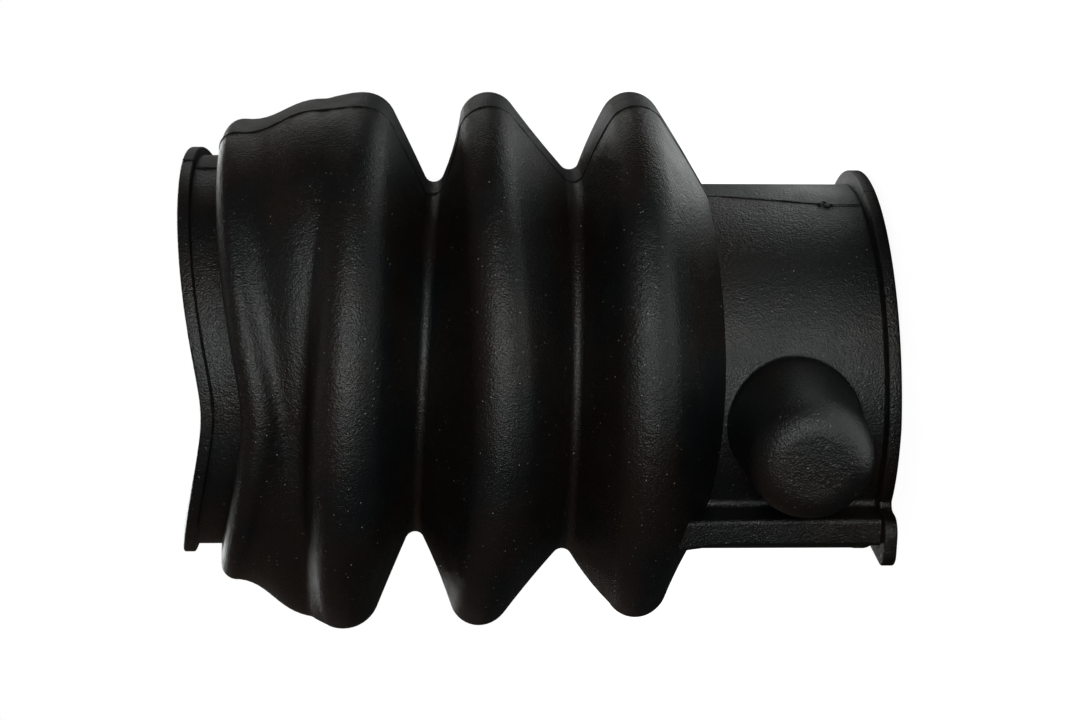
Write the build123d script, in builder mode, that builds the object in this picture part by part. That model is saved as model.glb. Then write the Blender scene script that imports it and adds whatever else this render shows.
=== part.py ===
from build123d import *
import os
from math import asin, atan2, cos, hypot, pi, radians, sin, sqrt, tan

# A moulded rubber bellows boot, in millimetres, standing on its round mouth with its saddle mouth
# on top. Z is the axis of the straight tube, Z = 0 is the face of the round mouth, and the blind
# nipple points along -Y. Heights are measured from the round mouth.

wall = 2.6

# Straight tube and the lip of the round mouth
tube_radius = 36.2
mouth_lip_thickness = 2.4
mouth_lip_proud = 2.6

# Bellows: three crests and two roots, a little to the side of the tube. Each rise is measured from
# the crest or root below it.
bellows_shift = 1.7
foot_flank_angle = 58
low_crest_height = 46.7
low_crest_radius = 52.3
low_root_rise = 13.5
low_root_radius = 37.7
middle_crest_rise = 16.1
middle_crest_radius = 53.2
high_root_rise = 10.9
high_root_radius = 34.8
high_crest_rise = 15.8
high_crest_radius = 53.2
crest_round = 5.5
high_crest_round = 8.0
root_round = 2.5

# Saddle mouth: its shoulder, neck and lip end on cylinders that lie across the boot on one axis,
# a little to the side of the collar
saddle_rise = 24.0
saddle_radius = 97.0
saddle_shift = 3.8
neck_radius = 38.6
saddle_lip_proud = 1.8
saddle_lip_thickness = 2.2

# Collar: a shoulder under the neck, whose upright side is tall at the front and back of the saddle
# and short at its two sides, and a flank that falls from it to the high crest
collar_shift = 3.2
shoulder_drop = 6.8
shoulder_width = 7.0
shoulder_round = 3.2
front_shoulder_side = 7.5
side_shoulder_side = 2.5

# Shares of the flank's rise that its roundings take, on the crest and in the hollow above it
crest_share = 0.67
hollow_share = 0.25

# Blind nipple on the tube
nipple_height = 19.2
nipple_reach = 59.6
nipple_base_radius = 12.3
nipple_end_radius = 11.0
nipple_end_round = 4.0
nipple_end_wall = 3.2
nipple_hollow_radius = nipple_end_radius - wall
nipple_flare = 1.5

# Ledge beside the nipple, from the lip of the round mouth to the bellows. The lip widens to an ear
# round the ledge's end.
ledge_proud = 3.0
ledge_offset = 18.2
ledge_thickness = 4.9
ledge_edge_round = 1.3
ledge_root_round = 2.0
ear_proud = 3.7
ear_round = 3.4
ear_root_round = 1.5

# How far a blank runs past the surface that trims it
overrun = 3.0

# Points of a line round the collar, and straight bands that a rounding is divided into
ring_point_count = 16
outer_band_count = 3
inner_band_count = 1
root_band_count = 2

# Heights and radii that follow from the sizes above
low_root_height = low_crest_height + low_root_rise
middle_crest_height = low_root_height + middle_crest_rise
high_root_height = middle_crest_height + high_root_rise
high_crest_height = high_root_height + high_crest_rise
saddle_axis_height = high_crest_height + saddle_rise + saddle_radius
shoulder_radius = neck_radius + shoulder_width
saddle_lip_radius = neck_radius + saddle_lip_proud
saddle_top = saddle_axis_height - sqrt(saddle_radius**2 - (saddle_lip_radius + saddle_shift) ** 2)
mouth_lip_radius = tube_radius + mouth_lip_proud
ledge_reach = tube_radius + ledge_proud
ear_width = mouth_lip_proud + ledge_thickness + ear_proud
ear_reach = ledge_reach + mouth_lip_proud


def arc_angles(first, last, steps):
    return [first + (last - first) * step / steps for step in range(steps + 1)]


def rounding_points(radius, height, rounding, first, last, steps):
    # Points along a rounding about its centre, in the boot's half section
    return [
        (radius + rounding * cos(angle), height + rounding * sin(angle))
        for angle in arc_angles(first, last, steps)
    ]


def flank_slope(rise, drop, crest, root):
    # Angle from the axis of the straight flank that touches a crest's rounding and a root's
    slack = crest + root - drop
    return asin((crest + root) / hypot(rise, slack)) - atan2(slack, rise)


def bellows_body(inset, bands):
    # The filled bellows from a foot inside the tube to the high crest, at a depth under the surface
    crests = [
        (low_crest_height, low_crest_radius, crest_round),
        (middle_crest_height, middle_crest_radius, crest_round),
        (high_crest_height, high_crest_radius, high_crest_round),
    ]
    roots = [(low_root_height, low_root_radius), (high_root_height, high_root_radius)]
    under = radians(foot_flank_angle)
    foot_radius = tube_radius - wall - bellows_shift - overrun
    touch_radius = low_crest_radius - crest_round + (crest_round - inset) * cos(under)
    touch_height = low_crest_height - (crest_round - inset) * sin(under)
    foot_height = touch_height - (touch_radius - foot_radius) / tan(under)
    points = [(0, foot_height), (foot_radius, foot_height)]
    for crest, root, next_crest in zip(crests, roots, crests[1:]):
        height, radius, rounding = crest
        root_height, root_radius = root
        over = flank_slope(root_height - height, radius - root_radius, rounding, root_round)
        points += rounding_points(radius - rounding, height, rounding - inset, -under, over, bands)
        height, radius, rounding = next_crest
        under = flank_slope(height - root_height, radius - root_radius, rounding, root_round)
        centre = root_radius + root_round
        points += rounding_points(centre, root_height, root_round + inset, pi + over, pi - under,
                                  root_band_count)
    points += rounding_points(radius - rounding, height, rounding - inset, -under, 0, bands)
    with BuildPart() as body:
        with BuildSketch(Plane((bellows_shift, 0, 0), x_dir=(1, 0, 0), z_dir=(0, -1, 0))):
            with BuildLine():
                Polyline(*points, (0, high_crest_height), close=True)
            make_face()
        revolve(axis=Axis((bellows_shift, 0, 0), (0, 0, 1)))
    return body.part


def saddle_station(radius, drop):
    # On a cylinder that lies across the boot, a drop below the saddle mouth. A station gives the
    # radius and the height for each turn about the axis from the front.
    def station(turn):
        across = radius * sin(turn) - saddle_shift
        return radius, saddle_axis_height - sqrt((saddle_radius + drop) ** 2 - across**2)

    return station


def collar_flank(turn):
    # The flank's rise, the roundings at its crest and hollow, and its angle from the axis
    corner_height = saddle_station(shoulder_radius, shoulder_drop + shoulder_round)(turn)[1]
    side = front_shoulder_side + (side_shoulder_side - front_shoulder_side) * sin(turn) ** 2
    rise = corner_height - side - high_crest_height
    crest = crest_share * rise
    hollow = hollow_share * rise
    return rise, crest, hollow, flank_slope(rise, high_crest_radius - shoulder_radius, crest, hollow)


def crest_station(share, inset):
    # On the upper rounding of the high crest, a share of the way to the flank. Inside, the wall
    # limits the rounding.
    def station(turn):
        _, crest, _, slope = collar_flank(turn)
        rounding = max(crest - inset, 0)
        radius = high_crest_radius - inset - rounding + rounding * cos(slope * share)
        return radius, high_crest_height + rounding * sin(slope * share)

    return station


def hollow_station(share, inset):
    # On the hollow rounding between the flank and the shoulder's side
    def station(turn):
        rise, _, hollow, slope = collar_flank(turn)
        rounding = hollow + inset
        radius = shoulder_radius + hollow - rounding * cos(slope * share)
        return radius, high_crest_height + rise - rounding * sin(slope * share)

    return station


def ring(station, shift):
    # A closed line round the boot, from the front
    points = []
    for turn in arc_angles(0, 2 * pi, ring_point_count)[:-1]:
        radius, height = station(turn)
        points.append((shift + radius * sin(turn), -radius * cos(turn), height))
    with BuildLine() as line:
        Spline(*points, periodic=True)
    return line.wire()


def collar_body(inset, bands):
    # The filled collar from the high crest to a level end above the saddle mouth
    with BuildLine(Plane((bellows_shift, 0, high_crest_height), x_dir=(0, -1, 0))) as crest_line:
        CenterArc((0, 0), high_crest_radius - inset, 0, 360)
    stations = [crest_station(share, inset) for share in arc_angles(0, 1, bands)[1:]]
    stations += [hollow_station(share, inset) for share in (1, 0)]
    rings = [crest_line.wire()]
    for index, station in enumerate(stations):
        settled = (index + 1) / len(stations)
        rings.append(ring(station, bellows_shift + (collar_shift - bellows_shift) * settled))
    corner = shoulder_round - inset
    for angle in arc_angles(0, pi / 2, bands):
        radius = shoulder_radius - shoulder_round + corner * cos(angle)
        drop = shoulder_drop + shoulder_round - corner * sin(angle)
        rings.append(ring(saddle_station(radius, drop), collar_shift))
    rings.append(ring(saddle_station(neck_radius - inset, shoulder_drop + inset), collar_shift))
    with BuildLine(Plane((collar_shift, 0, saddle_top + overrun), x_dir=(0, -1, 0))) as end_line:
        CenterArc((0, 0), neck_radius - inset, 0, 360)
    return Solid.make_loft(rings + [end_line.wire()], ruled=True)


def outline_with_bar(radius, offset, width, reach, edge_round, root_round):
    # A circle with a bar that starts inside it, beside its middle, and reaches out in front of it
    with BuildSketch() as outline:
        Circle(radius)
        with Locations((-offset, 0)):
            RectangleRounded(width, reach, edge_round, align=(Align.MAX, Align.MAX))
        roots = outline.vertices().sort_by(lambda corner: hypot(corner.X, corner.Y))[:2]
        fillet(roots, root_round)
    return outline.sketch


across_boot = Plane((collar_shift + saddle_shift, 0, saddle_axis_height), z_dir=(0, -1, 0))

tube_outline = outline_with_bar(
    tube_radius, ledge_offset, ledge_thickness, ledge_reach, ledge_edge_round, ledge_root_round
)
lip_outline = outline_with_bar(
    mouth_lip_radius, ledge_offset - mouth_lip_proud, ear_width, ear_reach, ear_round, ear_root_round
)

# The tube and its ledge, which run up into the lowest flank of the bellows
with BuildPart() as tube:
    with BuildSketch():
        add(tube_outline)
    extrude(amount=low_crest_height - crest_round / 2)

with BuildPart() as mouth_lip:
    with BuildSketch():
        add(lip_outline)
    extrude(amount=mouth_lip_thickness)

with BuildPart() as nipple:
    with BuildSketch(Plane((0, 0, nipple_height), x_dir=(1, 0, 0), z_dir=(0, 0, -1))):
        with BuildLine():
            Polyline(
                (0, tube_radius / 2),
                (nipple_base_radius + nipple_flare, tube_radius / 2),
                (nipple_base_radius + nipple_flare, tube_radius - nipple_flare),
                (nipple_base_radius, tube_radius + nipple_flare),
                *rounding_points(nipple_end_radius - nipple_end_round, nipple_reach - nipple_end_round,
                                 nipple_end_round, 0, pi / 2, outer_band_count - 1),
                (0, nipple_reach),
                close=True,
            )
        make_face()
    revolve(axis=Axis((0, 0, nipple_height), (0, -1, 0)))

# The lip of the saddle mouth, cut under and over by cylinders that lie across the boot
with BuildPart() as saddle_lip:
    with BuildSketch(Plane.XY.offset(high_crest_height)):
        with Locations((collar_shift, 0)):
            Circle(saddle_lip_radius)
    extrude(amount=saddle_top - high_crest_height + overrun)
    with BuildSketch(across_boot):
        Circle(saddle_radius + saddle_lip_thickness)
    extrude(amount=2 * shoulder_radius, both=True, mode=Mode.INTERSECT)

with BuildPart() as bellows_boot:
    add(tube)
    add(nipple)
    add(bellows_body(0, outer_band_count))
    add(collar_body(0, outer_band_count - 1))
    add(mouth_lip)
    add(saddle_lip)
    with BuildSketch(across_boot):
        Circle(saddle_radius)
    extrude(amount=2 * shoulder_radius, both=True, mode=Mode.SUBTRACT)
    add(bellows_body(wall, inner_band_count), mode=Mode.SUBTRACT)
    add(collar_body(wall, inner_band_count), mode=Mode.SUBTRACT)
    with BuildSketch():
        Circle(tube_radius - wall)
    extrude(amount=low_crest_height - crest_round, mode=Mode.SUBTRACT)
    with BuildSketch(Plane.XZ):
        with Locations((0, nipple_height)):
            Circle(nipple_hollow_radius)
    extrude(amount=nipple_reach - nipple_end_wall, mode=Mode.SUBTRACT)

bellows_boot.part.label = "bellows_boot"
os.makedirs("parts", exist_ok=True)
export_step(bellows_boot.part, "parts/bellows_boot.step")
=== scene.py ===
import math
import bpy
import bmesh
from mathutils import Matrix, Vector, noise


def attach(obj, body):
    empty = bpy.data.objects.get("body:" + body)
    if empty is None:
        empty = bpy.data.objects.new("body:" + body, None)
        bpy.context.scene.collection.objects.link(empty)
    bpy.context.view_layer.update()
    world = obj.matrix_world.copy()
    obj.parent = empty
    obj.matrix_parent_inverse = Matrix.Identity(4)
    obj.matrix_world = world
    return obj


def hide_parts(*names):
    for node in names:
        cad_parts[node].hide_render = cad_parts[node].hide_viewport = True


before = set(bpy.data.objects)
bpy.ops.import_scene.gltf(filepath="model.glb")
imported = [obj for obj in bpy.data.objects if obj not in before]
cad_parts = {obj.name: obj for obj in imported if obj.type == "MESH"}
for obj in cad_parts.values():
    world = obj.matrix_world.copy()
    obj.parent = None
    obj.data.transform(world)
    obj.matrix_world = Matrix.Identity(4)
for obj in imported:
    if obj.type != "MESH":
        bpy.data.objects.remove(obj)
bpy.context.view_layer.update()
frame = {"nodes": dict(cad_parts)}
print("frame loaded:", ", ".join(frame["nodes"]))

mm = 0.001  # sizes below are in millimetres, and every mesh is in metres


def toLinear(hexColour):
    # sRGB hex as linear light
    channels = [int(hexColour[at:at + 2], 16) / 255 for at in (1, 3, 5)]
    return [c / 12.92 if c <= 0.04045 else ((c + 0.055) / 1.055) ** 2.4 for c in channels] + [1.0]


def addNode(tree, kind, inputs=(), **settings):
    # adds a node with its settings, and fills its inputs, by name or in order; what goes in is a
    # value, a socket, or another node, whose first output is then linked
    node = tree.nodes.new(kind)
    for name, value in settings.items():
        setattr(node, name, value)
    for name, value in inputs.items() if isinstance(inputs, dict) else enumerate(inputs):
        if isinstance(value, bpy.types.Node):
            value = value.outputs[0]
        if isinstance(value, bpy.types.NodeSocket):
            tree.links.new(value, node.inputs[name])
        else:
            node.inputs[name].default_value = value
    return node


camera = {
    "turn": 17,  # degrees from the front, round the tube's axis
    "tilt": 2.2,  # degrees towards the saddle mouth
    "distance": 400,
    "height": 64.7,  # of the middle of the view above the round mouth
    "aside": 1.2,  # the axis runs this far under the middle of the view
    "viewWidth": 216,  # what the view spans at the axis
    "sensorWidth": 36,
    "clipStart": 10,
}

viewTurn = math.radians(camera["turn"])
towards = Vector((math.sin(viewTurn), -math.cos(viewTurn), 0))
up = Vector((math.cos(viewTurn), math.sin(viewTurn), 0))  # the boot lies on its side in the view


def makeCamera(sizes):
    tilt = math.radians(sizes["tilt"])
    back = towards * math.cos(tilt) + Vector((0, 0, math.sin(tilt)))
    right = up.cross(back)
    data = bpy.data.cameras.new("camera")
    data.sensor_width = sizes["sensorWidth"]
    data.lens = sizes["sensorWidth"] * sizes["distance"] / sizes["viewWidth"]
    data.clip_start = sizes["clipStart"] * mm
    place = (back * sizes["distance"] + up * sizes["aside"] + Vector((0, 0, sizes["height"]))) * mm
    item = bpy.data.objects.new("camera", data)
    item.matrix_world = Matrix.Translation(place) @ Matrix((right, up, back)).transposed().to_4x4()
    bpy.context.collection.objects.link(item)
    bpy.context.scene.camera = item


makeCamera(camera)
print("camera placed")


# the boot as a section that changes on its way round the axis
boot = {
    "wall": 2.6,
    "tubeRadius": 36.4,
    "creaseFront": 33.0, "creaseSide": 35.6, "creaseLean": 3.0,  # where the tube meets the bellows
    # the tube's last station lies this far under the crease, and on the inner skin it is higher by
    # this share of the wall
    "creaseDrop": 0.6, "creaseInset": 0.6,
    # crests and roots, from the tube up: height and rounding at the sides and at the front, then
    # radius, shift to the side, and lean in degrees
    "lowCrest": {"side": (46.8, 5.5), "front": (46.9, 7.0), "turned": (52.1, 2.4, -0.65)},
    "lowRoot": {"side": (59.9, 2.25), "front": (59.6, 1.3), "turned": (37.7, 1.55, 1.15)},
    "middleCrest": {"side": (76.3, 5.6), "front": (73.0, 6.5), "turned": (52.75, 1.55, 1.25)},
    "highRoot": {"side": (87.75, 1.9), "front": (87.7, 1.3), "turned": (34.7, 2.0, 3.2)},
    "highCrest": {"side": (101.5, 6.65), "front": (101.3, 7.5), "turned": (52.95, 1.2, 2.3)},
    "footFlank": 53.6,
    "sags": (0.04, -0.32, 0.15, 0.32, 0.0),  # how far each flank sags at its middle, from the tube up
    # collar, at the front and back of the saddle and at its sides: the crest's rounding on its side,
    # the hollow's lowest point and rounding, the angle at which the plateau leaves it and meets the
    # shoulder, and the shoulder's top and rounding
    "frontCollar": {
        "crestRound": 5.6, "hollow": (43.0, 110.2), "hollowRound": 2.4, "leave": 0, "meet": 38,
        "shoulderTop": 119.7, "shoulderRound": 3.4,
    },
    "sideCollar": {
        "crestRound": 22.0, "hollow": (52.04, 112.4), "hollowRound": 40.0, "leave": 6, "meet": 0,
        "shoulderTop": 119.9, "shoulderRound": 3.2,
    },
    "collarShift": 3.5,
    "collarTurn": -12, "neckTurn": 0.3,  # degrees, and the share of it that is left at the neck
    "sidePower": 1.3,  # how early the section goes over from the front's to the side's
    "shoulderRadius": 45.45, "neckRadius": 38.3,
    "lipTop": 127.2, "lipRadius": 39.9, "lipThickness": 2.3, "lipEdgeRound": 0.4, "lipChamfer": 0.15,
    # the saddle's rise from the front to the sides, its lean, and how softly it starts
    "saddleRise": 7.2, "saddleLean": -1.1, "saddlePower": 0.87, "saddleSoft": 0.15,
    "saddleTurn": -0.3,
    "turns": 280, "weld": 0.02,
    "sharpAngle": 35,  # degrees from which an edge is left crisp
}

# how many bands each stretch of the section is drawn with
bands = {
    "tube": 16, "flank": 5, "crest": 14, "root": 7, "highCrest": 8,
    "collarCrest": 9, "collarFlank": 4, "hollow": 6, "plateau": 12, "shoulder": 9, "shoulderTop": 4,
    "neck": 6, "lipEdge": 4, "lipInnerEdge": 3,
}

# the flash where the mould's halves met, as a plane at a turn that drifts on the tube
seam = {
    "turn": 81, "drift": -5.5, "driftTop": 31, "driftSpan": 19, "driftMost": 1.2,
    "ridge": 0.17, "groove": 0.24, "width": 0.2, "apart": 1.6, "gather": 0.87,
    "raggedSize": 2.5, "ragged": (0.45, 1.3),  # its least and most height along its length
    "lipStations": 14,  # how many stations past the shoulder still carry it
}


def seamTurnAt(height):
    share = min(seam["driftMost"], max(0, (seam["driftTop"] - height) / seam["driftSpan"]))
    return math.radians(seam["turn"] + seam["drift"] * share)


def arc(radius, height, rounding, first, last, steps):
    # points along a rounding about its centre
    return [
        (radius + rounding * math.cos(first + (last - first) * step / steps),
         height + rounding * math.sin(first + (last - first) * step / steps))
        for step in range(steps + 1)
    ]


def between(start, end, steps, sag):
    # the points between two ends, without the ends, pressed inwards at the middle
    radial, rise = end[0] - start[0], end[1] - start[1]
    length = math.hypot(radial, rise) or 1
    points = []
    for step in range(1, steps):
        share = step / steps
        pressed = 4 * share * (1 - share) * sag / length
        point = [a + (b - a) * share for a, b in zip(start, end)]
        points.append((point[0] - rise * pressed, point[1] + radial * pressed, *point[2:]))
    return points


def flankSlope(rise, drop, crest, root):
    # angle from the axis of the flank that touches a crest's rounding and a root's
    slack = crest + root - drop
    return math.asin((crest + root) / math.hypot(rise, slack)) - math.atan2(slack, rise)


def offsetLine(points, inset):
    # the line moved inwards, square to itself
    moved = []
    for at, (radius, height) in enumerate(points):
        before, after = points[max(at - 1, 0)], points[min(at + 1, len(points) - 1)]
        radial, rise = after[0] - before[0], after[1] - before[1]
        length = math.hypot(radial, rise)
        moved.append((radius - rise / length * inset, height + radial / length * inset))
    return moved


def bend(start, startAngle, end, endAngle, steps, fullness=0.4):
    # a smooth stretch between two points; the angles are from the axis, outwards
    pull = math.dist(start, end) * fullness
    near = (start[0] + pull * math.sin(startAngle), start[1] + pull * math.cos(startAngle))
    far = (end[0] - pull * math.sin(endAngle), end[1] - pull * math.cos(endAngle))
    points = []
    for step in range(1, steps):
        s = step / steps
        weights = ((1 - s)**3, 3 * s * (1 - s)**2, 3 * s * s * (1 - s), s**3)
        points.append(tuple(
            sum(weight * point[axis] for weight, point in zip(weights, (start, near, far, end)))
            for axis in (0, 1)))
    return points


def ease(share):
    # from 0 to 1, level at both ends
    return share * share * (3 - 2 * share)


def collarLine(sizes, collar, crest, lift):
    # outer line from the highest crest to the shoulder's top, with the saddle's lift in it, the share
    # of the lift that each point takes, and how much it turns with the collar
    height, rounding, radius = crest
    crestRound, hollowRound = collar["crestRound"], collar["hollowRound"]
    corner = collar["shoulderRound"]
    hollowRadius, hollowHeight = collar["hollow"]
    rise = flankSlope(hollowHeight - height, radius - hollowRadius, crestRound, hollowRound)
    mostLeave = 0.7  # the plateau leaves the hollow at no more than this share of the flank's slope
    leave, meet = min(math.radians(collar["leave"]), rise * mostLeave), math.radians(collar["meet"])
    points = arc(radius - crestRound, height, crestRound, 0, rise, bands["collarCrest"])
    hollow = arc(hollowRadius + hollowRound, hollowHeight, hollowRound,
                 math.pi + rise, math.pi + leave, bands["hollow"])
    points += between(points[-1], hollow[0], bands["collarFlank"], 0) + hollow
    shoulder = arc(sizes["shoulderRadius"] - corner, collar["shoulderTop"] + lift - corner, corner,
                   -meet, math.pi / 2, bands["shoulder"])
    plateau = bend(hollow[-1], -leave, shoulder[0], meet, bands["plateau"])
    along = [step / bands["plateau"] for step in range(1, bands["plateau"])]
    shares = [0] * len(points) + along + [1] * len(shoulder)
    turns = [ease(at / (len(points) - 1)) for at in range(len(points))]
    turns += [1 - (1 - sizes["neckTurn"]) * ease(share) for share in along]
    turns += [sizes["neckTurn"]] * len(shoulder)
    return points + plateau + shoulder, shares, turns


def skinStations(sizes, inset, side):
    # one skin of the boot from the round mouth to the saddle mouth, at the saddle's front or side, as
    # radius, height, shift, lean, the share it takes of the saddle's rise, and of the collar's turn
    stations = []

    def put(points, shift, lean, share=0, collar=0):
        stations.extend((radius, height, shift, lean, share, collar) for radius, height in points)

    def bridge(points, shift, lean, steps, share=0, sag=0, collar=0):
        # the stretch from the last station to the next rounding, then the rounding
        stations.extend(between(stations[-1], (*points[0], shift, lean, share, collar), steps, sag))
        put(points, shift, lean, share, collar)

    face = "side" if side else "front"
    crease = sizes["creaseSide" if side else "creaseFront"]
    crease = crease - sizes["creaseDrop"] + inset * sizes["creaseInset"]
    tubeRadius = sizes["tubeRadius"] - inset
    put([(tubeRadius, 0)], 0, 0)
    bridge([(tubeRadius, crease)], 0, sizes["creaseLean"], bands["tube"])
    crests, roots = [
        [(*sizes[fold][face], *sizes[fold]["turned"]) for fold in folds]
        for folds in (("lowCrest", "middleCrest", "highCrest"), ("lowRoot", "highRoot"))
    ]
    under = math.radians(sizes["footFlank"])
    sags = iter(sizes["sags"])
    for crest, root, nextCrest in zip(crests, roots, crests[1:]):
        height, rounding, radius, shift, lean = crest
        rootHeight, rootRound, rootRadius, rootShift, rootLean = root
        over = flankSlope(rootHeight - height, radius - rootRadius, rounding, rootRound)
        points = arc(radius - rounding, height, rounding - inset, -under, over, bands["crest"])
        bridge(points, shift, lean, bands["flank"], sag=next(sags))
        nextHeight, nextRound, nextRadius = nextCrest[:3]
        under = flankSlope(nextHeight - rootHeight, nextRadius - rootRadius, nextRound, rootRound)
        points = arc(rootRadius + rootRound, rootHeight, rootRound + inset,
                     math.pi + over, math.pi - under, bands["root"])
        bridge(points, rootShift, rootLean, bands["flank"], sag=next(sags))
    height, rounding, radius, shift, lean = crests[-1]
    points = arc(radius - rounding, height, rounding - inset, -under, 0, bands["highCrest"])
    bridge(points, shift, lean, bands["flank"], sag=next(sags))
    lift = sizes["saddleRise"] if side else 0
    line, shares, turns = collarLine(sizes, sizes[face + "Collar"], crests[-1][:3], lift)
    for (radius, level), share, turn in list(zip(offsetLine(line, inset), shares, turns))[1:]:
        across = sizes["collarShift"] * share + shift * (1 - share)
        stations.append((radius, level - lift * share, across, lean * (1 - share), share, turn))
    neckFoot = (sizes["neckRadius"] - inset, stations[-1][1])
    bridge([neckFoot], sizes["collarShift"], 0, bands["shoulderTop"], 1, collar=sizes["neckTurn"])
    return stations


def bootStations(sizes, side):
    # the closed section: outer skin up, saddle lip, inner skin down
    outer = skinStations(sizes, 0, side)
    inner = skinStations(sizes, sizes["wall"], side)
    neck, top, under = sizes["neckRadius"], sizes["lipTop"], sizes["lipTop"] - sizes["lipThickness"]
    edge, chamfer = sizes["lipEdgeRound"], sizes["lipChamfer"]
    lip = [(neck, under - chamfer), (neck + chamfer, under)]
    lip += arc(sizes["lipRadius"] - edge, under + edge, edge, -math.pi / 3, 0, bands["lipEdge"])
    lip += arc(sizes["lipRadius"] - edge, top - edge, edge, 0, math.pi / 2, bands["lipEdge"])
    lip += arc(neck - sizes["wall"] + edge, top - edge, edge,
               math.pi / 2, math.pi, bands["lipInnerEdge"])
    line = between(outer[-1][:2], lip[0], bands["neck"], 0) + lip
    line += between(lip[-1], inner[-1][:2], bands["neck"], 0)
    shift, turn = sizes["collarShift"], sizes["neckTurn"]
    return outer + [(*point, shift, 0, 1, turn) for point in line] + inner[::-1] + [outer[0]]


def makeSectionMesh(name, sizes):
    # the section as a line of points that carry its sizes, for the front and for the side
    front, side = bootStations(sizes, False), bootStations(sizes, True)
    radii, heights, shifts, leans, shares, turns = zip(*front)
    sideRadii, sideHeights, sideShifts = list(zip(*side))[:3]
    flashEnd = len(skinStations(sizes, 0, False)) + seam["lipStations"]
    seamTurns = [seamTurnAt(height) for height in heights]
    columns = {
        "frontRadius": [radius * mm for radius in radii],
        "frontHeight": [height * mm for height in heights],
        "sideRadius": [radius * mm for radius in sideRadii],
        "sideHeight": [height * mm for height in sideHeights],
        "shift": [shift * mm for shift in shifts],
        "slope": [math.tan(math.radians(lean)) for lean in leans],
        "saddleShare": shares,
        "seamTurn": seamTurns,
        "seamStart": [turn - math.asin(shift * math.cos(turn) / radius)
                      for turn, shift, radius in zip(seamTurns, sideShifts, sideRadii)],
        "outer": [1.0 if 0 < at < flashEnd else 0.0 for at in range(len(front))],
        "collarTurn": [math.radians(sizes["collarTurn"]) * turn for turn in turns],
    }
    mesh = bpy.data.meshes.new(name)
    spots = [(radius * mm, 0, height * mm) for radius, height in zip(radii, heights)]
    mesh.from_pydata(spots, [(at, at + 1) for at in range(len(spots) - 1)], [])
    for key, values in columns.items():
        mesh.attributes.new(key, "FLOAT", "POINT").data.foreach_set("value", values)
    item = bpy.data.objects.new(name, mesh)
    bpy.context.collection.objects.link(item)
    return item


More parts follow.
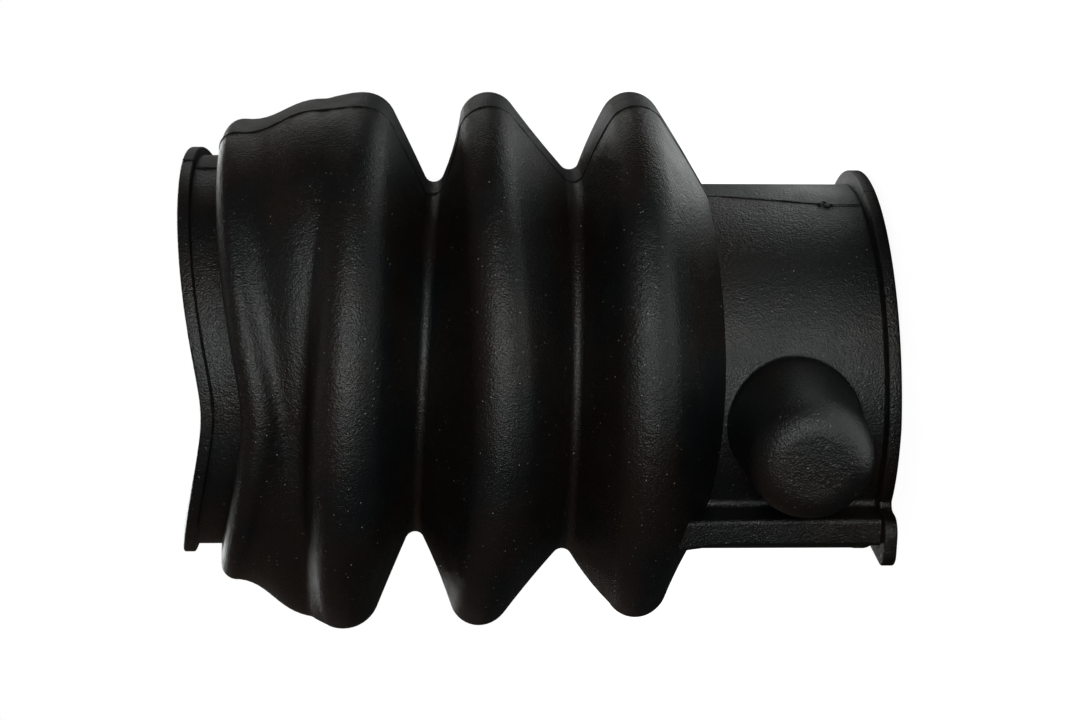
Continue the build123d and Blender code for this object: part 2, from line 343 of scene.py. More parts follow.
def makeTurningTree(material):
    # a grid of stations by turns, bent round the axis, given the saddle's rise and the mould's flash
    tree = bpy.data.node_groups.new("turned section", "GeometryNodeTree")
    sockets = {
        "NodeSocketGeometry": ("Section",),
        "NodeSocketInt": ("Stations", "Turns"),
        "NodeSocketFloat": (
            "Side Power", "Saddle Rise", "Saddle Lean", "Saddle Power", "Saddle Soft", "Saddle Turn",
            "Flash Ridge", "Flash Groove", "Flash Width", "Flash Apart", "Flash Gather",
            "Ragged Scale", "Ragged Least", "Ragged Most", "Weld Distance"),
    }
    for kind, names in sockets.items():
        for name in names:
            tree.interface.new_socket(name, in_out="INPUT", socket_type=kind)
    tree.interface.new_socket("Boot", in_out="OUTPUT", socket_type="NodeSocketGeometry")
    given = addNode(tree, "NodeGroupInput").outputs

    columns = addNode(tree, "ShaderNodeMath", [given["Turns"], 1], operation="ADD")
    grid = addNode(tree, "GeometryNodeMeshGrid",
                   {"Vertices X": given["Stations"], "Vertices Y": columns})
    index = addNode(tree, "GeometryNodeInputIndex")
    station = addNode(tree, "ShaderNodeMath", [index, columns], operation="DIVIDE")
    station = addNode(tree, "ShaderNodeMath", [station], operation="FLOOR")
    share = addNode(tree, "ShaderNodeMath", [index, columns], operation="MODULO")
    share = addNode(tree, "ShaderNodeMath", [share, given["Turns"]], operation="DIVIDE")
    read = {}
    for key in ("frontRadius", "frontHeight", "sideRadius", "sideHeight", "shift", "slope",
                "saddleShare", "seamTurn", "seamStart", "outer", "collarTurn"):
        value = addNode(tree, "GeometryNodeInputNamedAttribute", {"Name": key}, data_type="FLOAT")
        sample = {"Geometry": given["Section"], "Value": value, "Index": station}
        read[key] = addNode(tree, "GeometryNodeSampleIndex", sample, data_type="FLOAT", domain="POINT")

    # turns are counted from the flash and gathered near it
    plain = addNode(tree, "ShaderNodeMath", [share, 2 * math.pi], operation="MULTIPLY")
    pull = addNode(tree, "ShaderNodeMath", [plain, 2], operation="MULTIPLY")
    pull = addNode(tree, "ShaderNodeMath", [pull], operation="SINE")
    gather = addNode(tree, "ShaderNodeMath", [given["Flash Gather"], -0.5], operation="MULTIPLY")
    pull = addNode(tree, "ShaderNodeMath", [pull, gather], operation="MULTIPLY")
    turn = addNode(tree, "ShaderNodeMath", [plain, pull], operation="ADD")
    turn = addNode(tree, "ShaderNodeMath", [turn, read["seamStart"]], operation="ADD")
    sine = addNode(tree, "ShaderNodeMath", [turn], operation="SINE")
    cosine = addNode(tree, "ShaderNodeMath", [turn], operation="COSINE")

    # the section goes over from the front's to the side's, and the collar is turned against the rest
    sideways = addNode(tree, "ShaderNodeMath", [turn, read["collarTurn"]], operation="SUBTRACT")
    sideways = addNode(tree, "ShaderNodeMath", [sideways], operation="SINE")
    sideways = addNode(tree, "ShaderNodeMath", [sideways, sideways], operation="MULTIPLY")
    sideways = addNode(tree, "ShaderNodeMath", [1, sideways], operation="SUBTRACT")
    sideways = addNode(tree, "ShaderNodeMath", [sideways, given["Side Power"]], operation="POWER")
    sideways = addNode(tree, "ShaderNodeMath", [1, sideways], operation="SUBTRACT")
    radius = addNode(tree, "ShaderNodeMix", {0: sideways, 2: read["frontRadius"], 3: read["sideRadius"]})
    level = addNode(tree, "ShaderNodeMix", {0: sideways, 2: read["frontHeight"], 3: read["sideHeight"]})

    # saddle: rises with the sine's power, and starts softly
    swing = addNode(tree, "ShaderNodeMath", [turn, given["Saddle Turn"]], operation="SUBTRACT")
    swing = addNode(tree, "ShaderNodeMath", [swing], operation="SINE")
    soft = given["Saddle Soft"]
    soft = addNode(tree, "ShaderNodeMath", [soft, soft], operation="MULTIPLY")
    half = addNode(tree, "ShaderNodeMath", [given["Saddle Power"], 0.5], operation="MULTIPLY")
    least = addNode(tree, "ShaderNodeMath", [soft, half], operation="POWER")
    most = addNode(tree, "ShaderNodeMath", [soft, 1], operation="ADD")
    most = addNode(tree, "ShaderNodeMath", [most, half], operation="POWER")
    most = addNode(tree, "ShaderNodeMath", [most, least], operation="SUBTRACT")
    swell = addNode(tree, "ShaderNodeMath", [swing, swing, soft], operation="MULTIPLY_ADD")
    swell = addNode(tree, "ShaderNodeMath", [swell, half], operation="POWER")
    swell = addNode(tree, "ShaderNodeMath", [swell, least], operation="SUBTRACT")
    swell = addNode(tree, "ShaderNodeMath", [swell, most], operation="DIVIDE")
    lift = addNode(tree, "ShaderNodeMath", [swing, given["Saddle Lean"], given["Saddle Rise"]],
                   operation="MULTIPLY_ADD")
    lift = addNode(tree, "ShaderNodeMath", [swell, lift], operation="MULTIPLY")
    level = addNode(tree, "ShaderNodeMath", [lift, read["saddleShare"], level], operation="MULTIPLY_ADD")

    # each fold leans to the side and is shifted there
    across = addNode(tree, "ShaderNodeMath", [radius, sine], operation="MULTIPLY")
    depth = addNode(tree, "ShaderNodeMath", [radius, cosine], operation="MULTIPLY")
    depth = addNode(tree, "ShaderNodeMath", [depth, -1], operation="MULTIPLY")
    lean = addNode(tree, "ShaderNodeMath", [across, read["slope"]], operation="MULTIPLY")
    level = addNode(tree, "ShaderNodeMath", [level, lean], operation="SUBTRACT")
    across = addNode(tree, "ShaderNodeMath", [across, read["shift"]], operation="ADD")
    place = addNode(tree, "ShaderNodeCombineXYZ", [across, depth, level])
    bent = addNode(tree, "GeometryNodeSetPosition", {"Geometry": grid, "Position": place})

    # flash: a groove and a ridge along the plane where the mould parted, uneven along their length
    seamCosine = addNode(tree, "ShaderNodeMath", [read["seamTurn"]], operation="COSINE")
    seamSine = addNode(tree, "ShaderNodeMath", [read["seamTurn"]], operation="SINE")
    gap = addNode(tree, "ShaderNodeMath", [depth, seamSine], operation="MULTIPLY")
    gap = addNode(tree, "ShaderNodeMath", [across, seamCosine, gap], operation="MULTIPLY_ADD")
    near = addNode(tree, "ShaderNodeMath", [gap, given["Flash Width"]], operation="DIVIDE")
    beside = addNode(tree, "ShaderNodeMath", [near, given["Flash Apart"]], operation="SUBTRACT")
    sides = []
    for away, amount in ((beside, given["Flash Ridge"]), (near, given["Flash Groove"])):
        swell = addNode(tree, "ShaderNodeMath", [away, away], operation="MULTIPLY")
        swell = addNode(tree, "ShaderNodeMath", [swell, -1], operation="MULTIPLY")
        swell = addNode(tree, "ShaderNodeMath", [swell], operation="EXPONENT")
        sides.append(addNode(tree, "ShaderNodeMath", [swell, amount], operation="MULTIPLY"))
    flash = addNode(tree, "ShaderNodeMath", sides, operation="SUBTRACT")
    ragged = addNode(tree, "ShaderNodeTexNoise",
                     {"W": level, "Scale": given["Ragged Scale"], "Detail": 3.0},
                     noise_dimensions="1D")
    noiseLow, noiseHigh = 0.35, 0.65  # nearly all of the noise lies between these
    uneven = addNode(tree, "ShaderNodeMapRange",
                     [ragged, noiseLow, noiseHigh, given["Ragged Least"], given["Ragged Most"]])
    flash = addNode(tree, "ShaderNodeMath", [flash, uneven], operation="MULTIPLY")
    flash = addNode(tree, "ShaderNodeMath", [flash, read["outer"]], operation="MULTIPLY")
    normal = addNode(tree, "GeometryNodeInputNormal")
    raised = addNode(tree, "ShaderNodeVectorMath", {0: normal, "Scale": flash}, operation="SCALE")
    bent = addNode(tree, "GeometryNodeSetPosition", {"Geometry": bent, "Offset": raised})
    closed = addNode(tree, "GeometryNodeMergeByDistance",
                     {"Geometry": bent, "Distance": given["Weld Distance"]})
    whole = addNode(tree, "GeometryNodeRealizeInstances", {"Geometry": closed})
    dressed = addNode(tree, "GeometryNodeSetMaterial", {"Geometry": whole, "Material": material})
    addNode(tree, "NodeGroupOutput", {"Boot": dressed})
    return tree


def runTree(item, tree, values):
    # gives the object the tree with its inputs, and makes the result a plain mesh
    modifier = item.modifiers.new(tree.name, "NODES")
    modifier.node_group = tree
    for socket in tree.interface.items_tree:
        if socket.in_out == "INPUT" and socket.name in values:
            modifier[socket.identifier] = values[socket.name]
    return plainMesh(item)


def plainMesh(item):
    # what the modifiers give, as the object's own mesh
    evaluated = item.evaluated_get(bpy.context.evaluated_depsgraph_get())
    mesh = bpy.data.meshes.new_from_object(evaluated)
    item.modifiers.clear()
    item.data = mesh
    return item


def pointOutwards(item):
    shape = bmesh.new()
    shape.from_mesh(item.data)
    bmesh.ops.recalc_face_normals(shape, faces=shape.faces)
    shape.to_mesh(item.data)
    shape.free()
    return item


rubber = bpy.data.materials.new("moulded rubber")
rubber.use_nodes = True

section = makeSectionMesh("bellows_boot_skin", boot)
skin = runTree(section, makeTurningTree(rubber), {
    "Stations": len(section.data.vertices),
    "Turns": boot["turns"],
    "Side Power": boot["sidePower"],
    "Saddle Rise": boot["saddleRise"] * mm,
    "Saddle Lean": boot["saddleLean"] * mm,
    "Saddle Power": boot["saddlePower"],
    "Saddle Soft": boot["saddleSoft"],
    "Saddle Turn": math.radians(boot["saddleTurn"]),
    "Flash Ridge": seam["ridge"] * mm,
    "Flash Groove": seam["groove"] * mm,
    "Flash Width": seam["width"] * mm,
    "Flash Apart": seam["apart"],
    "Flash Gather": seam["gather"],
    "Ragged Scale": 1 / (seam["raggedSize"] * mm),
    "Ragged Least": seam["ragged"][0],
    "Ragged Most": seam["ragged"][1],
    "Weld Distance": boot["weld"] * mm,
})
pointOutwards(skin)
print("skin:", len(skin.data.vertices), "points")


nipple = {
    "height": 19.2, "reach": 59.6, "baseRadius": 12.3, "endRadius": 11.2, "endRound": 6.0,
    "flare": 0.5, "sunk": 0.02, "footSunk": 1.0,  # how deep its foot lies under the tube's surface
    "turns": 96, "flareBands": 6, "taperBands": 9, "endBands": 14,
}
# the blind hole behind it, from inside the tube's bore
hole = {"radius": 8.4, "start": 20.0, "reach": 56.4, "endRound": 3, "turns": 64, "endBands": 8}


def makeNipple(name, sizes, tubeRadius):
    # rings round the nipple's own axis, the first two inside the tube's wall
    def surface(radius, turn):
        return math.sqrt(tubeRadius**2 - (radius * math.cos(turn))**2)

    base, end, flare = sizes["baseRadius"], sizes["endRadius"], sizes["flare"]
    endRound, shoulder = sizes["endRound"], sizes["reach"] - sizes["endRound"]
    rings = [lambda turn: (base + flare, surface(base + flare, turn) - sizes["footSunk"])]
    for step in range(sizes["flareBands"] + 1):
        angle = math.pi / 2 * step / sizes["flareBands"]
        radius, out = base + flare * (1 - math.sin(angle)), flare * (1 - math.cos(angle)) - sizes["sunk"]
        rings.append(lambda turn, radius=radius, out=out: (radius, surface(radius, turn) + out))
    for step in range(1, sizes["taperBands"] + 1):
        share = step / sizes["taperBands"]
        radius = base + (end - base) * share
        rings.append(lambda turn, radius=radius, share=share: (
            radius, (surface(radius, turn) + flare) * (1 - share) + shoulder * share))
    for step in range(1, sizes["endBands"] + 1):
        angle = math.pi / 2 * step / sizes["endBands"]
        radius, reach = end - endRound * (1 - math.cos(angle)), shoulder + endRound * math.sin(angle)
        rings.append(lambda turn, radius=radius, reach=reach: (radius, reach))
    return ringSolid(name, rings, sizes["turns"], sizes["height"])


def makeHole(name, sizes, height):
    # a straight hole, round at its end
    endRound = sizes["endRound"]
    rings = [lambda turn: (sizes["radius"], sizes["start"])]
    for step in range(sizes["endBands"] + 1):
        angle = math.pi / 2 * step / sizes["endBands"]
        radius = sizes["radius"] - endRound * (1 - math.cos(angle))
        reach = sizes["reach"] - endRound + endRound * math.sin(angle)
        rings.append(lambda turn, radius=radius, reach=reach: (radius, reach))
    return ringSolid(name, rings, sizes["turns"], height)


def ringSolid(name, rings, count, height):
    # rings along -Y at a height; each gives its radius and its reach at a turn
    vertices = []
    for ring in rings:
        for at in range(count):
            turn = 2 * math.pi * at / count
            radius, reach = ring(turn)
            vertices.append((
                radius * math.cos(turn) * mm, -reach * mm, (height + radius * math.sin(turn)) * mm))
    return solidFrom(name, vertices, joinRows(len(rings), count))


def joinRows(rows, count):
    # faces between rows of points that each go once round, with a cap at both ends
    faces = []
    for row in range(rows - 1):
        for at in range(count):
            first, second = row * count + at, row * count + (at + 1) % count
            faces.append((first, second, second + count, first + count))
    return faces + [tuple(reversed(range(count))), tuple(range((rows - 1) * count, rows * count))]


def solidFrom(name, vertices, faces):
    mesh = bpy.data.meshes.new(name)
    mesh.from_pydata(vertices, [], faces)
    mesh.materials.append(rubber)
    item = bpy.data.objects.new(name, mesh)
    bpy.context.collection.objects.link(item)
    return pointOutwards(item)


outlineBands = {"tube": 300, "root": 8, "edge": 10}


def outlineWithBar(proudAt, offset, width, reach, edgeRound, rootRound):
    # points round the tube and round a bar beside its middle that reaches out in front; proudAt gives
    # how far the outline stands off the tube at an angle
    tube = boot["tubeRadius"]
    left, right = -offset - width, -offset

    def root(side, sign):
        # the rounding between the tube and the bar's side touches both
        middle = side + sign * rootRound
        radius = tube + proudAt(math.atan2(-tube, side))
        return middle, -math.sqrt((radius + rootRound)**2 - middle**2)

    rightRoot, leftRoot = root(right, 1), root(left, -1)
    start = math.atan2(rightRoot[1], rightRoot[0])
    end = math.atan2(leftRoot[1], leftRoot[0]) + 2 * math.pi
    points = []
    for step in range(outlineBands["tube"] + 1):
        turn = start + (end - start) * step / outlineBands["tube"]
        radius = tube + proudAt(turn)
        points.append((radius * math.cos(turn), radius * math.sin(turn)))
    first = math.atan2(-leftRoot[1], -leftRoot[0])
    last = math.atan2(-rightRoot[1], -rightRoot[0])
    end, bottom, edgeBands = -reach + edgeRound, 1.5 * math.pi, outlineBands["edge"]
    points += arc(*leftRoot, rootRound, first, 0, outlineBands["root"])[1:]
    points += arc(left + edgeRound, end, edgeRound, math.pi, bottom, edgeBands)
    points += arc(right - edgeRound, end, edgeRound, bottom, 2 * math.pi, edgeBands)
    return points + arc(*rightRoot, rootRound, math.pi, last, outlineBands["root"])[:-1]


def offsetOutline(points, amount):
    # the outline moved inwards by an amount, point by point
    moved = []
    for at, (x, y) in enumerate(points):
        before, after = points[at - 1], points[(at + 1) % len(points)]
        along = Vector((after[0] - before[0], after[1] - before[1])).normalized()
        moved.append((x - along.y * amount, y + along.x * amount))
    return moved


def makePrism(name, layers):
    # outlines one above the other, each with its height
    vertices = [(x * mm, y * mm, level * mm) for points, level in layers for x, y in points]
    return solidFrom(name, vertices, joinRows(len(layers), len(layers[0][0])))


# the ledge beside the nipple: how far it reaches at the tube and where it meets the bellows
ledge = {
    "reach": 39.2, "topReach": 41.8, "flareFrom": 28, "offset": 17.6, "thickness": 5.5,
    "topThickness": 6.6, "edgeRound": 1.0, "rootRound": 1.2, "sunk": 0.02,
    "foot": 1.0, "start": 2.0, "top": 45.0, "bands": 24,
}


def makeLedge(sizes):
    rise = sizes["top"] - sizes["start"]
    layers = []
    levels = [sizes["start"] + rise * step / sizes["bands"] for step in range(sizes["bands"] + 1)]
    for level in [sizes["foot"]] + levels:
        share = max(0, (level - sizes["flareFrom"]) / (sizes["top"] - sizes["flareFrom"]))**2
        reach = sizes["reach"] + (sizes["topReach"] - sizes["reach"]) * share
        thickness = sizes["thickness"] + (sizes["topThickness"] - sizes["thickness"]) * share
        outline = outlineWithBar(lambda turn: -sizes["sunk"], sizes["offset"], thickness, reach,
                                 sizes["edgeRound"], sizes["rootRound"])
        layers.append((outline, level))
    return makePrism("ledge", layers)


mouthLip = {
    "thickness": 2.5, "draft": 0.25, "draftInset": 1.0, "proud": 2.8,
    "rootRound": 1.2, "edgeRound": 0.4, "edgeBands": 4,
    # where round the tube it dies out, in degrees from the front, and how wide and how sharply
    "fadeTurn": -73, "fadeWidth": 45, "fadePower": 4, "leastProud": 0.1,
    "earProud": 3.8, "earRound": 3.4, "earInset": 0.6, "earReach": 2.6,
    "lift": 1.3, "liftReach": 38, "liftHeight": 30,  # how the mouth stands proud on one side
}


def makeMouthLip(sizes):
    # the lip round the mouth; it dies out beside the ear, which wraps the end of the ledge
    def proudAt(turn):
        # angle from +X, so that the front of the tube is at -90 degrees
        away = (math.degrees(turn) - (sizes["fadeTurn"] - 90) + 180) % 360 - 180
        faded = math.exp(-(away / sizes["fadeWidth"])**sizes["fadePower"])
        return sizes["leastProud"] + (sizes["proud"] - sizes["leastProud"]) * (1 - faded)

    inset, edge, count = sizes["earInset"], sizes["edgeRound"], sizes["edgeBands"]
    outline = outlineWithBar(
        proudAt, ledge["offset"] - inset, inset + ledge["thickness"] + sizes["earProud"],
        ledge["reach"] + sizes["earReach"], sizes["earRound"], sizes["rootRound"])
    angles = [math.pi / 2 * step / count for step in range(count + 1)]
    layers = [(offsetOutline(outline, edge * (1 - math.sin(angle))), edge * (1 - math.cos(angle)))
              for angle in angles]
    layers += [(offsetOutline(outline, edge * (1 - math.cos(angle))),
                sizes["thickness"] - edge * (1 - math.sin(angle))) for angle in angles]
    layers.append((offsetOutline(outline, sizes["draftInset"]), sizes["thickness"] + sizes["draft"]))
    return makePrism("lip", layers)


# a lump of flash left on the tube; rough gives each noise its strength and how fine it is
lump = {
    "height": 10.4, "size": (1.0, 1.7), "proud": 0.55, "sunk": 0.05,
    "rough": ((0.45, 2.1), (0.2, 5.3)), "seed": 4, "subdivisions": 4,
}


def makeLump(sizes):
    # a torn scrap of flash, half sunk in the tube
    turn = seamTurnAt(sizes["height"])
    out, side = Vector((math.sin(turn), -math.cos(turn), 0)), Vector((math.cos(turn), math.sin(turn), 0))
    (coarse, coarseScale), (fine, fineScale) = sizes["rough"]
    wide, tall = sizes["size"]
    shape = bmesh.new()
    bmesh.ops.create_icosphere(shape, subdivisions=sizes["subdivisions"], radius=1)
    for vertex in shape.verts:
        spot = vertex.co.copy()
        rough = 1 + coarse * noise.noise(spot * coarseScale + Vector((sizes["seed"], 0, 0)))
        rough += fine * noise.noise(spot * fineScale)
        place = out * (boot["tubeRadius"] - sizes["sunk"] + sizes["proud"] * spot.x * rough)
        place += side * (wide * spot.y * rough) + Vector((0, 0, sizes["height"] + tall * spot.z * rough))
        vertex.co = place * mm
    mesh = bpy.data.meshes.new("lump")
    shape.to_mesh(mesh)
    shape.free()
    mesh.materials.append(rubber)
    item = bpy.data.objects.new("lump", mesh)
    bpy.context.collection.objects.link(item)
    return pointOutwards(item)


def combine(item, tool, operation):
    # joins the tool to the item, or cuts it away
    modifier = item.modifiers.new(operation, "BOOLEAN")
    modifier.object = tool
    modifier.operation = operation
    modifier.solver = "MANIFOLD"
    plainMesh(item)
    bpy.data.objects.remove(tool)


boreCut = {"turns": 320, "overrun": 5}
tubeRadius = boot["tubeRadius"]
boreRadius = tubeRadius - boot["wall"] / 2  # inside the wall, where the joint is hidden
boreTurns = [2 * math.pi * at / boreCut["turns"] for at in range(boreCut["turns"])]
boreOutline = [(boreRadius * math.cos(turn), boreRadius * math.sin(turn)) for turn in boreTurns]
boreLayers = [(boreOutline, -boreCut["overrun"]), (boreOutline, ledge["top"] + boreCut["overrun"])]

fittings = makeLedge(ledge)
combine(fittings, makeMouthLip(mouthLip), "UNION")
combine(fittings, makeNipple("nipple", nipple, tubeRadius), "UNION")
combine(fittings, makeLump(lump), "UNION")
combine(fittings, makePrism("bore", boreLayers), "DIFFERENCE")
combine(fittings, makeHole("hole", hole, nipple["height"]), "DIFFERENCE")
combine(skin, fittings, "UNION")
combine(skin, makeHole("hole", hole, nipple["height"]), "DIFFERENCE")
skin.name = "rubber_boot"
for vertex in skin.data.vertices:
    # the mouth stands a little proud on one side
    spot = vertex.co / mm
    if spot.x > 0 and spot.z < mouthLip["liftHeight"]:
        share = (1 - spot.z / mouthLip["liftHeight"])**2
        vertex.co.z += mouthLip["lift"] * spot.x / mouthLip["liftReach"] * share * mm
triangles = sum(len(face.vertices) - 2 for face in skin.data.polygons)
print("boot joined:", len(skin.data.vertices), "points,", triangles, "triangles")

skin.data.shade_smooth()
skin.data.set_sharp_from_angle(angle=math.radians(boot["sharpAngle"]))
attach(skin, "root")
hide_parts("bellows_boot")


# widths and depths in millimetres; castNoise and blotchNoise are the part of the noise over which one
# black or roughness becomes the other
rubberLook = {
    "warmBlack": "#100a07", "coolBlack": "#07090b",  # carbon black takes a slight cast from its oils
    "castSize": 22, "castNoise": (0.4, 0.6),
    "roughness": 0.4, "blotchRoughness": 0.05,  # release agent lay unevenly on the mould
    "blotchSize": 7, "blotchNoise": (0.3, 0.7),
    "grainSize": 0.34, "grainDepth": 0.18,  # spark-eroded grain of the mould
    "peelSize": 0.9, "peelDepth": 0.1,  # soft orange peel under the grain
    "paintedLitHalfBlack": "#141417", "dullRoughness": 0.1, "dullEdge": (-0.05, 0.15),  # the duller mould half; its lighter black is painted light from the lamps above that half
    "dust": "#8f8981", "dustSpacing": 1.05, "dustSize": 0.125, "dustEdge": 0.03, "dustCover": 0.8,
    # the seam line's black is painted shade, standing in for the shadow in the flash's groove
    "seamPaintedShade": "#000000", "seamDark": 0.2, "seamWander": 0.3, "seamWanderSize": 0.9,
}


def dressRubber(material, look):
    # compression-moulded EPDM: deep black and semi-matt with broad soft highlights, with the mould's
    # grain, a black line of painted shade where its halves met, a lighter black of painted light on one
    # half, and a little dust; IOR stays at rubber's usual 1.5.
    # The real grain is finer than the view can show, so it is drawn as coarse as it needs to show
    tree = material.node_tree
    tree.nodes.clear()
    place = addNode(tree, "ShaderNodeTexCoord").outputs["Object"]
    spot = addNode(tree, "ShaderNodeSeparateXYZ", [place]).outputs

    # how far a point lies from the plane of the flash, positive on the duller half, whose black is
    # lightened as painted light
    drift = addNode(tree, "ShaderNodeMath", [seam["driftTop"] * mm, spot[2]], operation="SUBTRACT")
    drift = addNode(tree, "ShaderNodeMapRange", [drift, 0, seam["driftSpan"] * mm, 0, 1],
                    interpolation_type="SMOOTHSTEP")
    turn = addNode(tree, "ShaderNodeMath",
                   [drift, math.radians(seam["drift"]), math.radians(seam["turn"])],
                   operation="MULTIPLY_ADD")
    sine = addNode(tree, "ShaderNodeMath", [turn], operation="SINE")
    cosine = addNode(tree, "ShaderNodeMath", [turn], operation="COSINE")
    gap = addNode(tree, "ShaderNodeMath", [spot[1], sine], operation="MULTIPLY")
    gap = addNode(tree, "ShaderNodeMath", [spot[0], cosine, gap], operation="MULTIPLY_ADD")
    dullAndPaintedLitHalf = addNode(tree, "ShaderNodeMapRange",
                   [gap, look["dullEdge"][0] * mm, look["dullEdge"][1] * mm, 0, 1],
                   interpolation_type="SMOOTHSTEP")

    # painted shade: a black line along the flash, standing in for the shadow in its groove; it wanders a
    # little
    wander = addNode(tree, "ShaderNodeTexNoise",
                     {"Vector": place, "Scale": 1 / (look["seamWanderSize"] * mm), "Detail": 3.0})
    wander = addNode(tree, "ShaderNodeMath",
                     [wander, look["seamWander"] * mm, -0.5 * look["seamWander"] * mm],
                     operation="MULTIPLY_ADD")
    line = addNode(tree, "ShaderNodeMath", [gap, wander], operation="ADD")
    line = addNode(tree, "ShaderNodeMath", [line], operation="ABSOLUTE")
    line = addNode(tree, "ShaderNodeMapRange",
                   [line, look["seamDark"] * 0.5 * mm, look["seamDark"] * mm, 1, 0],
                   interpolation_type="SMOOTHSTEP")

    # dust: a speck in the middle of some cells
    specks = addNode(tree, "ShaderNodeTexVoronoi",
                     {"Vector": place, "Scale": 1 / (look["dustSpacing"] * mm)})
    kept = addNode(tree, "ShaderNodeSeparateColor", [specks.outputs["Color"]])
    kept = addNode(tree, "ShaderNodeMath", [kept, look["dustSize"] / look["dustSpacing"]],
                   operation="MULTIPLY")
    dust = addNode(tree, "ShaderNodeMath", [kept, specks.outputs["Distance"]], operation="SUBTRACT")
    dust = addNode(tree, "ShaderNodeMapRange", [dust, 0, look["dustEdge"], 0, look["dustCover"]],
                   interpolation_type="SMOOTHSTEP")

    cast = addNode(tree, "ShaderNodeTexNoise",
                   {"Vector": place, "Scale": 1 / (look["castSize"] * mm), "Detail": 2.0})
    cast = addNode(tree, "ShaderNodeMapRange", [cast, *look["castNoise"], 0, 1],
                   interpolation_type="SMOOTHSTEP")
    colour = addNode(tree, "ShaderNodeMix",
                     {0: cast, 6: toLinear(look["warmBlack"]), 7: toLinear(look["coolBlack"])},
                     data_type="RGBA").outputs[2]
    # painted light on the duller half, painted shade along the flash, then dust
    for share, name in ((dullAndPaintedLitHalf, "paintedLitHalfBlack"), (line, "seamPaintedShade"), (dust, "dust")):
        colour = addNode(tree, "ShaderNodeMix", {0: share, 6: colour, 7: toLinear(look[name])},
                         data_type="RGBA").outputs[2]

    blotch = addNode(tree, "ShaderNodeTexNoise",
                     {"Vector": place, "Scale": 1 / (look["blotchSize"] * mm), "Detail": 3.0})
    least = look["roughness"] - look["blotchRoughness"]
    most = look["roughness"] + look["blotchRoughness"]
    roughness = addNode(tree, "ShaderNodeMapRange", [blotch, *look["blotchNoise"], least, most],
                        interpolation_type="SMOOTHSTEP")
    roughness = addNode(tree, "ShaderNodeMath", [dullAndPaintedLitHalf, look["dullRoughness"], roughness],
                        operation="MULTIPLY_ADD")
    matt = addNode(tree, "ShaderNodeMath", [line, dust], operation="MAXIMUM")
    roughness = addNode(tree, "ShaderNodeMath", [roughness, matt], operation="MAXIMUM")

    grain = addNode(tree, "ShaderNodeTexNoise",
                    {"Vector": place, "Scale": 1 / (look["grainSize"] * mm),
                     "Detail": 2.5, "Roughness": 0.55})
    peel = addNode(tree, "ShaderNodeTexNoise",
                   {"Vector": place, "Scale": 1 / (look["peelSize"] * mm), "Detail": 1.0})
    height = addNode(tree, "ShaderNodeMath", [peel, look["peelDepth"] / look["grainDepth"], grain],
                     operation="MULTIPLY_ADD")
    bump = addNode(tree, "ShaderNodeBump",
                   {"Strength": 1.0, "Distance": look["grainDepth"] * mm, "Height": height})
    shader = addNode(tree, "ShaderNodeBsdfPrincipled",
                     {"Base Color": colour, "Roughness": roughness, "Normal": bump})
    addNode(tree, "ShaderNodeOutputMaterial", {"Surface": shader})


dressRubber(rubber, rubberLook)
print("rubber dressed")


paperFloor = {
    "half": 6,  # metres from its middle to its edge
    # paper is its colour in light; reflected is a painted shade that only the boot's reflections see
    "paper": "#f2f2f2", "reflected": "#2a2a2a",
    # how bright the camera sees it, and how far that hides the shadows on it
    "glow": 1.25, "glowShare": 0.75,
}


def makeFloor(sizes):
    # uncoated white paper, matt and without a highlight; in the boot's reflections it is painted dark
    # grey, a painted shade that keeps what the boot reflects of it dark
    half = sizes["half"]
    mesh = bpy.data.meshes.new("floor")
    corners = [(-half, -half, 0), (half, -half, 0), (half, half, 0), (-half, half, 0)]
    mesh.from_pydata(corners, [], [(0, 1, 2, 3)])
    item = bpy.data.objects.new("floor", mesh)
    bpy.context.collection.objects.link(item)
    material = bpy.data.materials.new("matt white paper")
    material.use_nodes = True
    tree = material.node_tree
    tree.nodes.clear()
    path = addNode(tree, "ShaderNodeLightPath").outputs
    paper, reflected = toLinear(sizes["paper"]), toLinear(sizes["reflected"])
    paper = addNode(tree, "ShaderNodeMix", {0: path["Is Glossy Ray"], 6: paper, 7: reflected},
                    data_type="RGBA").outputs[2]
    paper = addNode(tree, "ShaderNodeBsdfDiffuse", {"Color": paper})
    glow = addNode(tree, "ShaderNodeEmission",
                   {"Color": toLinear("#ffffff"), "Strength": sizes["glow"]})
    seen = addNode(tree, "ShaderNodeMath", [path["Is Camera Ray"], sizes["glowShare"]],
                   operation="MULTIPLY")
    mixed = addNode(tree, "ShaderNodeMixShader", [seen, paper, glow])
    addNode(tree, "ShaderNodeOutputMaterial", {"Surface": mixed})
    mesh.materials.append(material)


# white to the camera, a soft even light on matt surfaces, and nearly dark and warm in reflections
studio = {"matt": 0.3, "everywhere": 0.065, "reflected": "#ffe0cf"}


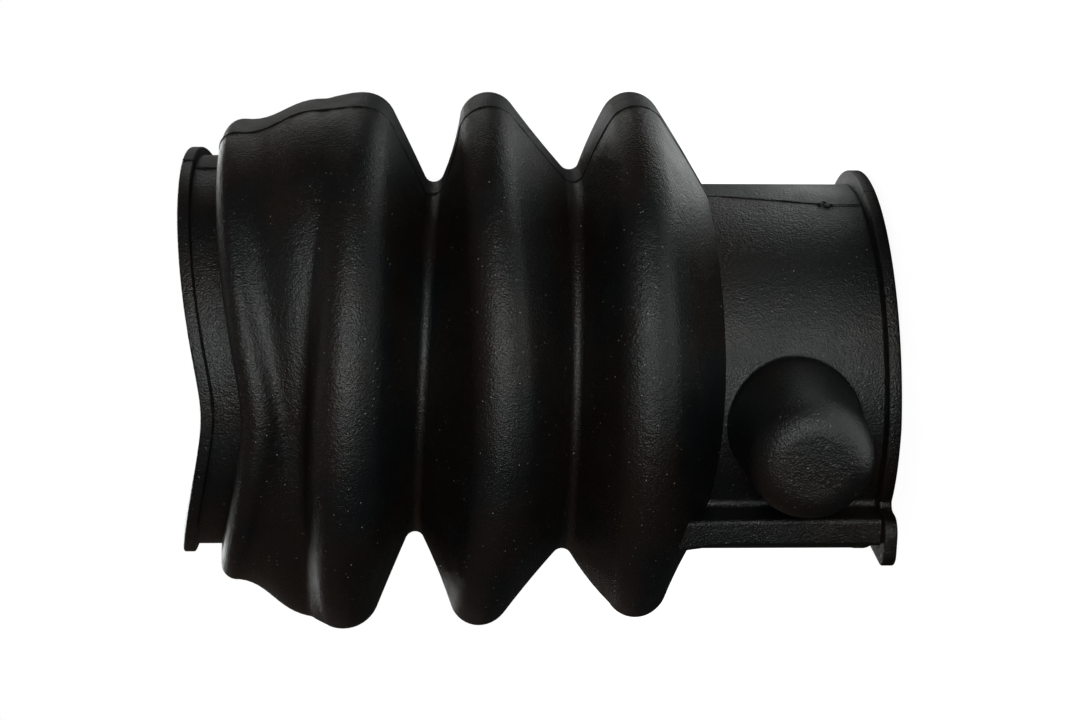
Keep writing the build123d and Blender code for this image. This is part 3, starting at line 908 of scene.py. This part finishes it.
def makeWorld(sizes):
    world = bpy.data.worlds.new("studio")
    bpy.context.scene.world = world
    world.use_nodes = True
    tree = world.node_tree
    tree.nodes.clear()
    path = addNode(tree, "ShaderNodeLightPath").outputs
    seen = addNode(tree, "ShaderNodeMath", [path["Is Camera Ray"], path["Is Transmission Ray"]],
                   operation="MAXIMUM")
    level = addNode(tree, "ShaderNodeMath",
                    [path["Is Diffuse Ray"], sizes["matt"], sizes["everywhere"]],
                    operation="MULTIPLY_ADD")
    level = addNode(tree, "ShaderNodeMath", [seen, level], operation="MAXIMUM")
    tint = addNode(tree, "ShaderNodeMix",
                   {0: path["Is Glossy Ray"], 6: toLinear("#ffffff"), 7: toLinear(sizes["reflected"])},
                   data_type="RGBA").outputs[2]
    light = addNode(tree, "ShaderNodeBackground", {"Color": tint, "Strength": level})
    addNode(tree, "ShaderNodeOutputWorld", {"Surface": light})


# softboxes: place towards the camera, up in the view and above the floor, in metres; size across and
# along what they face; power in watts; the flat ones lie on the floor and shine upwards
softboxes = {
    "key": {"place": (0.69, 0.04, 0.1), "size": (0.12, 0.16), "power": 1.7},
    "high": {"place": (0.63, -0.1, 0.33), "size": (0.2, 0.2), "power": 0.1},
    "back": {"place": (-0.484, 0.484, 0.21), "size": (0.2, 0.25), "power": 0.18},
    "behind": {"place": (-0.6, 0.05, 0.6), "size": (0.5, 0.6), "power": 5},
    "overhead": {"place": (-0.1, 0.1, 0.9), "size": (0.4, 0.4), "power": 0.3},
    "tableFront": {"place": (0.4, 0.02, 0.001), "size": (0.18, 0.32), "power": 0.7, "flat": True},
    "tableNear": {"place": (0.075, 0.02, 0.001), "size": (0.08, 0.045), "power": 0.013, "flat": True},
    "tableTop": {"place": (-0.025, 0.072, 0.001), "size": (0.045, 0.09), "power": 0.024, "flat": True},
    "tableFar": {"place": (-0.039, 0.145, 0.001), "size": (0.09, 0.08), "power": 0.045, "flat": True},
}
lampColour = "#f6fbf9"
lampAim = Vector((0, 0, 0.065))  # the boot's middle, in metres


def makeSoftbox(name, sizes):
    data = bpy.data.lights.new(name, "AREA")
    data.shape = "RECTANGLE"
    data.size, data.size_y = sizes["size"]
    data.energy = sizes["power"]
    data.color = toLinear(lampColour)[:3]
    item = bpy.data.objects.new(name, data)
    near, high, level = sizes["place"]
    place = towards * near + up * high + Vector((0, 0, level))
    if sizes.get("flat"):
        out, across = Vector((0, 0, -1)), towards
    else:
        out = (place - lampAim).normalized()
        across = Vector((0, 0, 1)).cross(out).normalized()
    along = out.cross(across)
    item.matrix_world = Matrix.Translation(place) @ Matrix((along, -across, out)).transposed().to_4x4()
    item.visible_camera = False
    bpy.context.collection.objects.link(item)


makeFloor(paperFloor)
makeWorld(studio)
for name, sizes in softboxes.items():
    makeSoftbox(name, sizes)
bpy.context.scene.view_settings.view_transform = "Standard"
print("stage and lights set")
